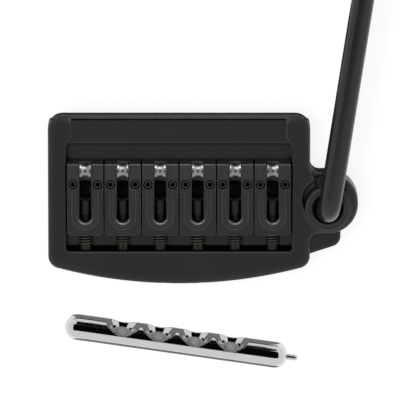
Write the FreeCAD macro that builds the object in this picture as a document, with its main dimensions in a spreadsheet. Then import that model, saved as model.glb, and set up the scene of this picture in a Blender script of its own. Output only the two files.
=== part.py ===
import FreeCAD, Part
import math
import os
import re

from FreeCAD import Placement, Rotation, Vector

# Guitar tremolo bridge. X runs along the pivot rail towards the arm, Y towards the neck and Z up
# from the guitar's top. The origin is the middle of the pivot rail's foot. Lengths are millimetres.
STRING_COUNT = 6
SEAT_COUNT = 4
BLOCK_SCREW_COUNT = 3
RETURN_SPRING_COUNT = 5

SIZES = {
    # strings
    "string_pitch": 10.5,
    "string_hole_back": 18.2,
    "string_hole_radius": 2.9,
    # pivot rail
    "rail_radius": 3.7,
    "rail_length": 64.6,
    "rail_foot_depth": 0.5,
    "rail_clearance": 0.08,
    "rail_end_clearance": 0.25,
    "seat_radius": 2.6,
    "seat_mouth_radius": 5.0,
    "seat_floor_rise": 0.4,
    "rail_hole_radius": 1.9,
    "rail_pin_radius": 0.85,
    "rail_pin_reach": 3.0,
    "rail_pin_seat": 4.0,
    # frame
    "cheek_width": 5.1,
    "frame_front": 4.2,
    "frame_tail": 43.95,
    "frame_under": 1.6,
    "frame_top": 10.8,
    "tail_sag": 5.12,
    "front_corner_radius": 4.2,
    "tail_corner_radius": 3.6,
    "frame_edge_round": 2.2,
    "front_lip_under": 5.3,
    "front_lip_back": 2.0,
    "floor_top": 3.8,
    "hood_step": 1.55,
    "hood_drop": 2.0,
    "hood_back": 4.3,
    "hood_edge_bevel": 0.6,
    "beam_drop": 1.0,
    "beam_width": 1.0,
    "window_side_gap": 0.15,
    "window_back": 34.6,
    "window_corner_radius": 1.1,
    "window_flare_length": 2.2,
    "cheek_edge_round": 0.5,
    # arm boss
    "boss_out": 4.95,
    "boss_front": 12.3,
    "boss_back": 29.7,
    "boss_radius": 8.5,
    "boss_blend_radius": 2.6,
    "flange_thickness": 2.6,
    "flange_out": 8.65,
    "flange_back": 36.35,
    "flange_corner": 33.5,
    "flange_corner_radius": 3.0,
    # arm
    "arm_out": 4.95,
    "arm_back": 22.1,
    "collar_radius": 6.4,
    "collar_bore_radius": 4.3,
    "collar_top": 12.0,
    "collar_floor": 4.2,
    "collar_bevel": 0.45,
    "press_clearance": 0.01,
    "sleeve_clearance": 0.05,
    "sleeve_top": 10.4,
    "arm_radius": 3.15,
    "arm_foot": 4.6,
    "arm_bend_height": 19.5,
    "arm_bend_radius": 6.0,
    "arm_first_run": 98.0,
    "arm_second_run": 66.0,
    "arm_knee_radius": 45.0,
    "arm_swing_angle": 8.3,
    "arm_rise_angle": 10.0,
    "arm_grip_angle": 1.5,
    "recess_radius": 5.7,
    "recess_out": 3.0,
    "recess_depth": 4.6,
    "recess_angle": 122.0,
    "arm_screw_radius": 1.5,
    "arm_screw_height": 9.6,
    "arm_screw_angle": 107.0,
    "arm_screw_end": 9.3,
    # saddles
    "saddle_gap": 0.36,
    "saddle_front": 9.2,
    "saddle_length": 20.6,
    "saddle_under": 4.0,
    "saddle_top": 11.9,
    "saddle_nose_radius": 2.8,
    "saddle_corner_radius": 1.0,
    "shoulder_drop": 0.65,
    "shoulder_front": 17.4,
    "rim_radius": 3.8,
    "slot_width": 3.4,
    "slot_end": 24.4,
    "slot_flare": 0.75,
    # rollers
    "roller_back": 11.4,
    "roller_height": 10.6,
    "roller_radius": 2.2,
    "roller_waist_radius": 1.6,
    "roller_side_clearance": 0.06,
    "roller_pocket_clearance": 0.25,
    "axle_radius": 0.8,
    "axle_length": 9.6,
    "axle_clearance": 0.04,
    # height screws
    "height_screw_radius": 1.25,
    "height_screw_across": 3.45,
    "height_screw_back": 15.2,
    "height_screw_top": 11.55,
    "screw_clearance": 0.06,
    "foot_clearance": 0.05,
    "small_socket_radius": 0.75,
    "small_socket_depth": 1.6,
    # intonation screws and springs
    "intonation_height": 6.2,
    "intonation_radius": 1.45,
    "intonation_tip": 20.6,
    "intonation_head_radius": 2.3,
    "intonation_head_length": 2.3,
    "tail_wall": 2.4,
    "head_clearance": 0.15,
    "large_socket_radius": 1.1,
    "spring_radius": 1.75,
    "spring_wire_radius": 0.22,
    "spring_turns": 3.0,
    "spring_end_clearance": 0.02,
    # sustain block
    "block_width": 66.0,
    "block_front": 11.6,
    "block_depth": 13.0,
    "block_height": 38.0,
    "block_bevel": 0.8,
    "ball_bore_radius": 2.9,
    "ball_bore_depth": 27.0,
    "string_channel_radius": 1.5,
    "return_spring_back": 21.6,
    "return_spring_radius": 1.5,
    "return_spring_depth": 9.0,
    "block_screw_back": 22.0,
    "block_screw_radius": 1.5,
    "block_screw_head_radius": 2.8,
    "block_screw_head_height": 1.3,
    "block_screw_length": 12.0,
    # the second rail, lying in front of the bridge
    "spare_rail_across": -1.0,
    "spare_rail_back": 69.4,
    "spare_rail_yaw": -8.2,
    "spare_rail_roll": -65.0,
}

# Widths that follow from the sizes above
DERIVED = {
    "window_width": f"{STRING_COUNT} * string_pitch + 2 * window_side_gap",
    "frame_width": "window_width + 2 * cheek_width",
    "tail_arc_radius": "frame_width * frame_width / (8 * tail_sag) + tail_sag / 2",
    "hood_width": "window_width - 2 * hood_step",
    "boss_across": "frame_width / 2 + boss_out",
    "flange_across": "frame_width / 2 + flange_out",
    "arm_across": "frame_width / 2 + arm_out",
}

ALONG_X = Rotation(Vector(0, 1, 0), 90)
TO_TAIL = Rotation(Vector(1, 0, 0), 90)
UPRIGHT = Rotation()
# how far a cutting tool runs past a face, and how close counts as the same place
PAST = 1.0
NEAR = 0.01

doc = FreeCAD.newDocument("tremolo_bridge")
sheet = doc.addObject("Spreadsheet::Sheet", "Sizes")
for row, (alias, value) in enumerate(SIZES.items(), start=1):
    sheet.set(f"A{row}", alias)
    sheet.set(f"B{row}", str(value))
    sheet.setAlias(f"B{row}", alias)
derived = doc.addObject("App::VarSet", "Derived")
nodes = []


def size(alias):
    return getattr(derived, alias) if alias in DERIVED else float(sheet.get(alias))


def formula(text):
    """An expression on the sheet's cells and the derived widths, from plain names."""

    def named(word):
        if word.group(0) in DERIVED:
            return "Derived." + word.group(0)
        return "Sizes." + word.group(0) if word.group(0) in SIZES else word.group(0)

    return re.sub(r"[a-z][a-z_0-9]*", named, str(text))


def bind(thing, **properties):
    for name, text in properties.items():
        thing.setExpression(name, formula(text))
    return thing


for width in DERIVED:
    derived.addProperty("App::PropertyFloat", width)
bind(derived, **DERIVED)
doc.recompute()


def move(thing, x=0, y=0, z=0, turn=UPRIGHT):
    thing.Placement = Placement(Vector(), turn)
    for axis, text in (("x", x), ("y", y), ("z", z)):
        thing.setExpression(f"Placement.Base.{axis}", formula(text))
    return thing


def make(kind, name):
    return doc.addObject("Part::" + kind, name)


def box(name, wide, back, front, low, high, across="0"):
    """A block centred on X = across, from Y = back to front and Z = low to high."""
    block = make("Box", name)
    bind(block, Length=wide, Width=f"({front}) - ({back})", Height=f"({high}) - ({low})")
    return move(block, f"{across} - ({wide}) / 2", back, low)


def rod(name, radius, length, x=0, y=0, z=0, turn=UPRIGHT):
    return move(bind(make("Cylinder", name), Radius=radius, Height=length), x, y, z, turn)


def cone(name, first, last, length, x=0, y=0, z=0, turn=UPRIGHT):
    return move(bind(make("Cone", name), Radius1=first, Radius2=last, Height=length), x, y, z, turn)


def hex_hole(name, radius, depth, x=0, y=0, z=0, turn=UPRIGHT):
    prism = bind(make("Prism", name), Circumradius=radius, Height=depth)
    prism.Polygon = 6
    return move(prism, x, y, z, turn)


def join(name, *things):
    fused = make("MultiFuse", name)
    fused.Shapes = list(things)
    return fused


def carve(name, base, *tools):
    cut = make("Cut", name)
    cut.Base = base
    cut.Tool = tools[0] if len(tools) == 1 else join(name + "_tools", *tools)
    return cut


def soften(name, base, kind, edge_size, wanted):
    """Rounds or bevels those edges of a finished solid for which wanted(edge) is true."""
    doc.recompute()
    picked = [i for i, edge in enumerate(base.Shape.Edges, start=1) if wanted(edge)]
    if not picked:
        raise ValueError(f"{name}: no edge to work on")
    soft = make(kind, name)
    soft.Base = base
    soft.Edges = [(i, edge_size, edge_size) for i in picked]
    return soft


def finish(name, thing):
    thing.Label = name
    nodes.append(thing)
    return thing


def repeat(name, form, x=0, y=0, z=0):
    """One more piece of the same form, at its own place."""
    doc.recompute()
    piece = doc.addObject("Part::Feature", name)
    piece.Shape = form.Shape.copy()
    move(piece, x, y, z)
    return finish(name, piece)


def near(value, target):
    return abs(value - target) < NEAR


def level(edge, z):
    return near(edge.BoundBox.ZMin, z) and near(edge.BoundBox.ZMax, z)


def across_y(edge, y):
    return near(edge.BoundBox.YMin, y) and near(edge.BoundBox.YMax, y)


def string_across(number):
    return f"({number} - {(STRING_COUNT + 1) / 2}) * string_pitch"


def seat_across(number):
    return f"({number} - {(SEAT_COUNT + 1) / 2}) * string_pitch"


rail_axis = "(rail_radius - rail_foot_depth)"
saddle_width = "(string_pitch - saddle_gap)"
saddle_back = "(saddle_front + saddle_length)"
block_bottom = "(frame_under - block_height)"
arm_screw_hole = "arm_screw_radius + screw_clearance"
arm_screw_mouth = f"arm_back - boss_front + {2 * PAST}"


# Pivot rail: a domed rod with a flat foot and four flared screw seats
def rail(name):
    half = "rail_length / 2 - rail_radius"
    shaft_length = "rail_length - 2 * rail_radius"
    shaft = rod(name + "_shaft", "rail_radius", shaft_length, f"-({half})", 0, rail_axis, ALONG_X)
    domes = []
    for side, label in ((-1, "left"), (1, "right")):
        dome = bind(make("Sphere", f"{name}_{label}_dome"), Radius="rail_radius")
        domes.append(move(dome, f"{side} * ({half})", 0, rail_axis, ALONG_X))
    body = join(name + "_body", shaft, *domes)
    foot = box(name + "_foot", "rail_length", "-rail_radius", "rail_radius", f"-{PAST}", 0)
    floor = f"({rail_axis} + seat_floor_rise)"
    seat_depth = "(rail_radius - seat_floor_rise)"
    flare = f"(seat_mouth_radius - seat_radius) / {seat_depth}"
    through = f"{floor} + {2 * PAST}"
    tools = [foot]
    for number in range(1, SEAT_COUNT + 1):
        x = seat_across(number)
        tools.append(cone(f"{name}_seat_{number}", "seat_radius", f"seat_mouth_radius + {flare} * {PAST}",
                          f"{seat_depth} + {PAST}", x, 0, floor))
        tools.append(rod(f"{name}_hole_{number}", "rail_hole_radius", through, x, 0, f"-{PAST}"))
    pin_bore = rod(name + "_pin_bore", "rail_pin_radius + press_clearance", f"rail_pin_seat + {PAST}",
                   "rail_length / 2 - rail_pin_seat", 0, rail_axis, ALONG_X)
    return carve(name, body, *tools, pin_bore)


def rail_pin(name):
    length = "(rail_pin_seat + rail_pin_reach - rail_pin_radius)"
    start = "rail_length / 2 - rail_pin_seat"
    shank = rod(name + "_shank", "rail_pin_radius", length, start, 0, rail_axis, ALONG_X)
    tip = bind(make("Sphere", name + "_tip"), Radius="rail_pin_radius")
    move(tip, f"{start} + {length}", 0, rail_axis, ALONG_X)
    return join(name, shank, tip)


def lay_down(name, form):
    """A copy of a rail piece, rolled about its axis, turned in plan and laid level with the block's foot."""
    doc.recompute()
    piece = doc.addObject("Part::Feature", name)
    piece.Shape = form.Shape.copy()
    axis_height = size("rail_radius") - size("rail_foot_depth")
    roll = Rotation(Vector(1, 0, 0), size("spare_rail_roll"))
    yaw = Rotation(Vector(0, 0, 1), size("spare_rail_yaw"))
    rest_height = size("frame_under") - size("block_height") + size("rail_radius")
    spot = Vector(size("spare_rail_across"), -size("spare_rail_back"), rest_height)
    piece.Placement = Placement(spot, yaw * roll, Vector()) * Placement(Vector(0, 0, -axis_height), UPRIGHT)
    return finish(name, piece)


fitted_rail = finish("pivot_rail", rail("pivot_rail"))
fitted_pin = finish("rail_end_pin", rail_pin("rail_end_pin"))
lay_down("spare_rail", fitted_rail)
lay_down("spare_rail_pin", fitted_pin)


# Frame: a plan outline of tangent lines and arcs, padded, rounded along its top and carved
def quarter(centre, radius, start):
    """A quarter circle, as its three points, clockwise from the angle start."""
    angles = [math.radians(start - step) for step in (0, 45, 90)]
    return [centre + Vector(radius * math.cos(a), radius * math.sin(a)) for a in angles]


def corner_arc(before, corner, after, radius):
    """The three points of an arc of this radius that rounds a corner of a path."""
    back = (before - corner).normalize()
    ahead = (after - corner).normalize()
    half = back.getAngle(ahead) / 2
    reach = radius / math.tan(half)
    centre = corner + (back + ahead).normalize() * (radius / math.sin(half))
    middle = centre + (corner - centre).normalize() * radius
    return [corner + back * reach, middle, corner + ahead * reach]


def frame_outline():
    """The outline's arcs in clockwise order; straight lines join them."""
    half = size("frame_width") / 2
    front = size("frame_front")
    corner = size("front_corner_radius")
    heel = size("tail_corner_radius")
    blend = size("boss_blend_radius")
    boss = size("boss_radius")
    across = size("boss_across")
    boss_front = -size("boss_front")
    boss_back = -size("boss_back")
    sweep = size("tail_arc_radius")
    tail = -size("frame_tail")
    pivot = Vector(0, tail + sweep)
    drop = math.sqrt((sweep - heel) ** 2 - (half - heel) ** 2)
    heel_centre = Vector(half - heel, pivot.y - drop)
    heel_way = (heel_centre - pivot).normalize()
    heel_end = pivot + heel_way * sweep
    middle = math.atan2(heel_way.y, heel_way.x) / 2
    right_heel = [
        Vector(half, heel_centre.y),
        heel_centre + Vector(math.cos(middle), math.sin(middle)) * heel,
        heel_end,
    ]
    left_heel = [Vector(-p.x, p.y) for p in reversed(right_heel)]
    front_blend = quarter(Vector(half + blend, boss_front + blend), blend, 270)
    back_blend = quarter(Vector(half + blend, boss_back - blend), blend, 180)
    return [
        quarter(Vector(half - corner, front - corner), corner, 90),
        list(reversed(front_blend)),
        quarter(Vector(across, boss_front - boss), boss, 90),
        quarter(Vector(across, boss_back + boss), boss, 0),
        list(reversed(back_blend)),
        right_heel,
        [heel_end, Vector(0, tail), left_heel[0]],
        left_heel,
        quarter(Vector(corner - half, front - corner), corner, 180),
    ]


def plane_of(body, role):
    return next(f for f in body.Origin.OriginFeatures if f.Role == role)


def pad_outline(name, arcs, low, high):
    body = doc.addObject("PartDesign::Body", name)
    sketch = body.newObject("Sketcher::SketchObject", name + "_outline")
    sketch.AttachmentSupport = [(plane_of(body, "XY_Plane"), "")]
    sketch.MapMode = "FlatFace"
    bind(sketch, **{"AttachmentOffset.Base.z": low})
    for arc, following in zip(arcs, arcs[1:] + arcs[:1]):
        if len(arc) == 3:
            sketch.addGeometry(Part.Arc(*arc), False)
        if (arc[-1] - following[0]).Length > 1e-6:
            sketch.addGeometry(Part.LineSegment(arc[-1], following[0]), False)
    pad = body.newObject("PartDesign::Pad", name + "_pad")
    pad.Profile = sketch
    bind(pad, Length=f"{high} - {low}")
    doc.recompute()
    return body, pad


def frame():
    body, pad = pad_outline("frame_blank", frame_outline(), "frame_under", "frame_top")
    rim = [
        f"Edge{i}"
        for i, edge in enumerate(pad.Shape.Edges, start=1)
        if level(edge, size("frame_top"))
    ]
    rounded = body.newObject("PartDesign::Fillet", "frame_rounding")
    rounded.Base = (pad, rim)
    bind(rounded, Radius="frame_edge_round")

    inner = size("frame_width") / 2 - size("frame_edge_round")
    reach = size("flange_across")
    flange_front = -size("boss_back") + size("boss_blend_radius")
    outer_front = Vector(reach, flange_front)
    outer_back = Vector(reach, -size("flange_corner"))
    heel = Vector(size("frame_width") / 2, -size("flange_back"))
    flange_line = [
        [Vector(inner, flange_front)],
        [outer_front],
        corner_arc(outer_front, outer_back, heel, size("flange_corner_radius")),
        [heel],
        [Vector(inner, -size("flange_back"))],
    ]
    flange_top = "frame_under + flange_thickness"
    flange, _ = pad_outline("flange", flange_line, "frame_under", flange_top)
    blank = join("frame_with_flange", body, flange)

    hood_top = "(frame_top - hood_drop)"
    beam_back = "(frame_front - beam_width)"
    over = f"frame_top + {PAST}"
    before_front = f"frame_front + {PAST}"
    window = box("window_block", "window_width", "-window_back", "-hood_back", "floor_top", over)

    def window_corner(edge):
        return across_y(edge, -size("window_back")) and near(edge.BoundBox.XLength, 0)

    cuts = [
        box("lip_cut", f"frame_width + {2 * PAST}", "front_lip_back", before_front, 0, "front_lip_under"),
        box("beam_cut", "hood_width", beam_back, before_front, "frame_top - beam_drop", over),
        box("hood_cut", "hood_width", "-hood_back", beam_back, hood_top, over),
        soften("window_cut", window, "Fillet", size("window_corner_radius"), window_corner),
    ]
    half_hood = size("hood_width") / 2
    half_window = size("window_width") / 2
    flare_front = size("window_flare_length") - size("hood_back")
    flare_points = [
        Vector(-half_hood, flare_front),
        Vector(half_hood, flare_front),
        Vector(half_window, -size("hood_back")),
        Vector(-half_window, -size("hood_back")),
    ]
    flare, _ = pad_outline("window_flare", [[p] for p in flare_points], hood_top, over)
    cuts.append(flare)

    groove_length = "(rail_length + 2 * rail_end_clearance)"
    groove = "(rail_radius + rail_clearance)"
    cuts.append(rod("rail_groove", groove, groove_length, f"-{groove_length} / 2", 0, rail_axis, ALONG_X))
    cuts.append(box("rail_mouth", groove_length, f"-{groove}", groove, 0, rail_axis))
    slot = "(rail_pin_radius + rail_clearance)"
    slot_length = "(rail_pin_reach + rail_end_clearance)"
    cuts.append(rod("pin_slot", slot, slot_length, "rail_length / 2", 0, rail_axis, ALONG_X))
    slot_middle = f"(rail_length + {slot_length}) / 2"
    cuts.append(box("pin_mouth", slot_length, f"-{slot}", slot, 0, rail_axis, slot_middle))

    for number in range(1, STRING_COUNT + 1):
        x = string_across(number)
        cuts.append(rod(f"floor_hole_{number}", "string_hole_radius", f"floor_top - frame_under + {2 * PAST}",
                        x, "-string_hole_back", f"frame_under - {PAST}"))
        wall = "(window_back + tail_wall)"
        cuts.append(rod(f"tail_hole_{number}", "intonation_radius + screw_clearance",
                        f"tail_wall + {2 * PAST}", x, f"{PAST} - window_back", "intonation_height", TO_TAIL))
        cuts.append(rod(f"tail_seat_{number}", "intonation_head_radius + head_clearance",
                        "frame_tail - window_back", x, f"-{wall}", "intonation_height", TO_TAIL))
    for number in range(1, BLOCK_SCREW_COUNT + 1):
        cuts.extend(block_screw_cuts(f"frame_{number}", block_screw_across(number), "press_clearance"))

    x, y = "arm_across", "-arm_back"
    bore = "(collar_radius + press_clearance)"
    cuts.append(rod("boss_bore", bore, "frame_top", x, y, "collar_floor"))
    recess_low = "(frame_top - recess_depth)"
    recess_turn = math.radians(size("recess_angle"))
    recess_x = f"{x} + {math.cos(recess_turn)} * recess_out"
    recess_y = f"{y} + {math.sin(recess_turn)} * recess_out"
    cuts.append(rod("recess", "recess_radius", "frame_top", recess_x, recess_y, recess_low))
    cuts.append(arm_screw_rod("boss_screw_hole", arm_screw_hole, "collar_radius", arm_screw_mouth))

    carved = carve("frame_carved", blank, *cuts)
    hood_z = size("frame_top") - size("hood_drop")
    hood_y = -size("hood_back")

    def hood_edge(edge):
        return level(edge, hood_z) and across_y(edge, hood_y)

    def window_lip(edge):
        bounds = edge.BoundBox
        inside = -half_window - NEAR < bounds.XMin and bounds.XMax < half_window + NEAR
        return level(edge, size("frame_top")) and inside and bounds.YMax < hood_y + NEAR

    bevelled = soften("frame_bevelled", carved, "Chamfer", size("hood_edge_bevel"), hood_edge)
    return soften("bridge_frame", bevelled, "Fillet", size("cheek_edge_round"), window_lip)


def block_screw_across(number):
    return f"({number} - {(BLOCK_SCREW_COUNT + 1) / 2}) * 2 * string_pitch"


def block_screw_cuts(name, x, clearance):
    """The countersink and shank of a block screw whose flat head lies level with the floor."""
    y = "-block_screw_back"
    shank_low = "(floor_top - block_screw_length)"
    head_low = "(floor_top - block_screw_head_height)"
    shank = rod(name + "_shank", f"block_screw_radius + {clearance}", "block_screw_length", x, y, shank_low)
    head = cone(name + "_head", f"block_screw_radius + {clearance}", f"block_screw_head_radius + {clearance}",
                "block_screw_head_height", x, y, head_low)
    return shank, head


def from_arm(thing, distance):
    """Places a tool that points out from the arm's axis along its screw, starting at a distance."""
    turn = Rotation(Vector(0, 0, 1), size("arm_screw_angle"))
    way = turn.multVec(Vector(1, 0, 0))
    x = f"arm_across + ({way.x}) * ({distance})"
    y = f"({way.y}) * ({distance}) - arm_back"
    return move(thing, x, y, "arm_screw_height", turn * ALONG_X)


def arm_screw_rod(name, radius, start, end):
    return from_arm(bind(make("Cylinder", name), Radius=radius, Height=f"({end}) - ({start})"), start)


finish("bridge_frame", frame())


# Sustain block under the floor, with string channels, ball seats and return spring holes
def sustain_block():
    middle = "-(block_front + block_depth)"
    blank = box("block_blank", "block_width", middle, "-block_front", block_bottom, "frame_under")

    def below_top(edge):
        return edge.BoundBox.ZMin < size("frame_under") - NEAR

    bevelled = soften("block_bevelled", blank, "Chamfer", size("block_bevel"), below_top)
    cuts = []
    for number in range(1, STRING_COUNT + 1):
        x = string_across(number)
        cuts.append(rod(f"channel_{number}", "string_channel_radius", f"block_height + {2 * PAST}",
                        x, "-string_hole_back", f"{block_bottom} - {PAST}"))
        cuts.append(rod(f"ball_bore_{number}", "ball_bore_radius", f"ball_bore_depth + {PAST}",
                        x, "-string_hole_back", f"{block_bottom} - {PAST}"))
    for number in range(1, RETURN_SPRING_COUNT + 1):
        x = f"({number} - {(RETURN_SPRING_COUNT + 1) / 2}) * string_pitch"
        cuts.append(rod(f"spring_hole_{number}", "return_spring_radius", f"return_spring_depth + {PAST}",
                        x, "-return_spring_back", f"{block_bottom} - {PAST}"))
    for number in range(1, BLOCK_SCREW_COUNT + 1):
        cuts.append(block_screw_cuts(f"block_{number}", block_screw_across(number), "press_clearance")[0])
    return carve("sustain_block", bevelled, *cuts)


def block_screws():
    screws = []
    for number in range(1, BLOCK_SCREW_COUNT + 1):
        x = block_screw_across(number)
        body = join(f"block_screw_{number}", *block_screw_cuts(f"screw_{number}", x, "0"))
        socket = hex_hole(f"block_socket_{number}", "large_socket_radius", "block_screw_head_height",
                          x, "-block_screw_back", "floor_top - block_screw_head_height")
        screws.append(carve(f"block_screw_{number}_cut", body, socket))
    return join("block_screws", *screws)


finish("sustain_block", sustain_block())
finish("block_screws", block_screws())


# Arm: collar pressed into the boss, sleeve, tension screw and the bent rod
def ring(name, outside, inside, low, high):
    """A tube about the arm's axis."""
    x, y = "arm_across", "-arm_back"
    outer = rod(name + "_outer", outside, f"({high}) - ({low})", x, y, low)
    hollow = rod(name + "_hollow", inside, f"({high}) - ({low}) + {2 * PAST}", x, y, f"{low} - {PAST}")
    return carve(name + "_ring", outer, hollow)


def arm_collar():
    tube = ring("collar", "collar_radius", "collar_bore_radius", "collar_floor", "collar_top")
    hole = arm_screw_rod("collar_screw_hole", arm_screw_hole, "0", arm_screw_mouth)
    drilled = carve("collar_drilled", tube, hole)

    def rim(edge):
        return level(edge, size("collar_top"))

    return soften("arm_collar", drilled, "Chamfer", size("collar_bevel"), rim)


def arm_sleeve():
    outside = "collar_bore_radius - sleeve_clearance"
    inside = "arm_radius + sleeve_clearance"
    return ring("arm_sleeve", outside, inside, "collar_floor + foot_clearance", "sleeve_top")


def arm_set_screw():
    shank = arm_screw_rod("arm_screw_shank", "arm_screw_radius", "collar_bore_radius", "arm_screw_end")
    socket = hex_hole("arm_screw_socket", "small_socket_radius", f"small_socket_depth + {PAST}")
    from_arm(socket, "arm_screw_end - small_socket_depth")
    return carve("arm_set_screw", shank, socket)


def tremolo_arm():
    swing = math.radians(size("arm_swing_angle"))

    def heading(rise):
        rise = math.radians(rise)
        return Vector(math.sin(swing) * math.cos(rise), math.cos(swing) * math.cos(rise), math.sin(rise))

    radius = size("arm_radius")
    foot = Vector(size("arm_across"), -size("arm_back"), size("arm_foot"))
    bend = Vector(foot.x, foot.y, size("arm_bend_height"))
    knee = bend + heading(size("arm_rise_angle")) * size("arm_first_run")
    tip = knee + heading(size("arm_grip_angle")) * size("arm_second_run")
    first = corner_arc(foot, bend, knee, size("arm_bend_radius"))
    second = corner_arc(bend, knee, tip, size("arm_knee_radius"))
    path = Part.Wire([
        Part.LineSegment(foot, first[0]).toShape(),
        Part.Arc(*first).toShape(),
        Part.LineSegment(first[2], second[0]).toShape(),
        Part.Arc(*second).toShape(),
        Part.LineSegment(second[2], tip).toShape(),
    ])
    section = Part.Wire([Part.Circle(foot, Vector(0, 0, 1), radius).toShape()])
    bar = path.makePipeShell([section], True, False)
    arm = doc.addObject("Part::Feature", "tremolo_arm")
    arm.Shape = bar.fuse(Part.makeSphere(radius, tip, heading(size("arm_grip_angle")))).removeSplitter()
    return arm


finish("arm_collar", arm_collar())
finish("arm_sleeve", arm_sleeve())
finish("arm_set_screw", arm_set_screw())
finish("tremolo_arm", tremolo_arm())


# Saddle: a block with ears in front, a slot, a raised rim round the slot and lower shoulders behind
def saddle_form():
    back = f"-{saddle_back}"
    blank = box("saddle_blank", saddle_width, back, "-saddle_front", "saddle_under", "saddle_top")
    shoulder_low = "(saddle_top - shoulder_drop)"
    over = f"saddle_top + {PAST}"
    rim_low = f"{shoulder_low} - {PAST}"
    shoulders = carve(
        "saddle_shoulders",
        box("shoulder_block", f"{saddle_width} + {2 * PAST}", f"{back} - {PAST}", "-shoulder_front",
            shoulder_low, over),
        box("rim_block", "2 * rim_radius", "-slot_end", f"{PAST} - shoulder_front",
            rim_low, f"{over} + {PAST}"),
        rod("rim_end", "rim_radius", f"shoulder_drop + {3 * PAST}", 0, "-slot_end", rim_low),
    )
    pocket = "(roller_radius + roller_pocket_clearance)"
    pocket_back = f"-(roller_back + {pocket})"
    low = f"saddle_under - {PAST}"
    tall = f"saddle_top - saddle_under + {2 * PAST}"
    cuts = [
        shoulders,
        box("slot_cut", "slot_width", "-slot_end", pocket_back, low, over),
        rod("slot_end_cut", "slot_width / 2", tall, 0, "-slot_end", low),
        cone("slot_flare_cut", "slot_width / 2", "slot_width / 2 + slot_flare", "slot_flare",
             0, "-slot_end", "saddle_top - slot_flare"),
        box("roller_pocket", "slot_width", f"{pocket_back} - {PAST}", f"{PAST} - saddle_front",
            f"roller_height - {pocket}", over),
        rod("axle_hole", "axle_radius + press_clearance", f"{saddle_width} + {2 * PAST}",
            f"-{saddle_width} / 2 - {PAST}", "-roller_back", "roller_height", ALONG_X),
        rod("intonation_thread", "intonation_radius + screw_clearance", f"{saddle_back} - slot_end + {PAST}",
            0, "-slot_end", "intonation_height", TO_TAIL),
    ]
    for side in (-1, 1):
        cuts.append(rod(f"height_hole_{side + 1}", "height_screw_radius + screw_clearance", tall,
                        f"{side} * height_screw_across", "-height_screw_back", low))
    carved = carve("saddle_carved", blank, *cuts)
    front = -size("saddle_front")

    def nose(edge):
        return across_y(edge, front) and level(edge, size("saddle_top"))

    def rear_corner(edge):
        upright = near(edge.BoundBox.XLength, 0) and edge.BoundBox.ZLength > size("saddle_corner_radius")
        return across_y(edge, front - size("saddle_length")) and upright

    rounded = soften("saddle_nosed", carved, "Fillet", size("saddle_nose_radius"), nose)
    return soften("saddle_form", rounded, "Fillet", size("saddle_corner_radius"), rear_corner)


# Roller: two cones waist to waist, bored for the axle
def roller_form():
    half = "(slot_width / 2 - roller_side_clearance)"
    y, z = "-roller_back", "roller_height"
    left = cone("roller_left", "roller_radius", "roller_waist_radius", half, f"-{half}", y, z, ALONG_X)
    right = cone("roller_right", "roller_waist_radius", "roller_radius", half, 0, y, z, ALONG_X)
    bore = rod("roller_bore", "axle_radius + axle_clearance", "slot_width", "-slot_width / 2", y, z, ALONG_X)
    return carve("roller_form", join("roller_body", left, right), bore)


def roller_axle(name, x):
    start = f"{x} - axle_length / 2"
    return rod(name, "axle_radius", "axle_length", start, "-roller_back", "roller_height", ALONG_X)


def height_screw_form():
    low = "(floor_top + foot_clearance)"
    length = f"height_screw_top - {low}"
    shank = rod("height_shank", "height_screw_radius", length, 0, "-height_screw_back", low)
    socket = hex_hole("height_socket", "small_socket_radius", f"small_socket_depth + {PAST}",
                      0, "-height_screw_back", "height_screw_top - small_socket_depth")
    return carve("height_screw_form", shank, socket)


def intonation_screw_form():
    seat = "(window_back + tail_wall + foot_clearance)"
    z = "intonation_height"
    shank_length = f"{seat} - intonation_tip"
    shank = rod("intonation_shank", "intonation_radius", shank_length, 0, "-intonation_tip", z, TO_TAIL)
    head_length = "intonation_head_length"
    head = rod("intonation_head", "intonation_head_radius", head_length, 0, f"-{seat}", z, TO_TAIL)
    socket = hex_hole("intonation_socket", "large_socket_radius", f"{head_length} / 2 + {PAST}",
                      0, f"-{seat} - {head_length} / 2", z, TO_TAIL)
    return carve("intonation_screw_form", join("intonation_body", shank, head), socket)


# Spring: one wire wound as a helix of biarcs, with straight ends square to the saddle and the tail wall
def biarc(start, start_way, end, end_way):
    """Two arcs, tangent to each other and to the given directions at both ends."""
    gap = end - start
    both = start_way + end_way
    slack = 2 * (1 - start_way.dot(end_way))
    reach = (math.sqrt(gap.dot(both) ** 2 + slack * gap.dot(gap)) - gap.dot(both)) / slack
    first = start + start_way * reach
    second = end - end_way * reach
    joint = (first + second) * 0.5
    return [tangent_arc(start, first, joint), tangent_arc(joint, second, end)]


def tangent_arc(start, corner, end):
    middle = (start + end) * 0.5
    cosine = (start - middle).Length / (start - corner).Length
    return Part.Arc(start, middle + (corner - middle) * (cosine / (1 + cosine)), end)


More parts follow.
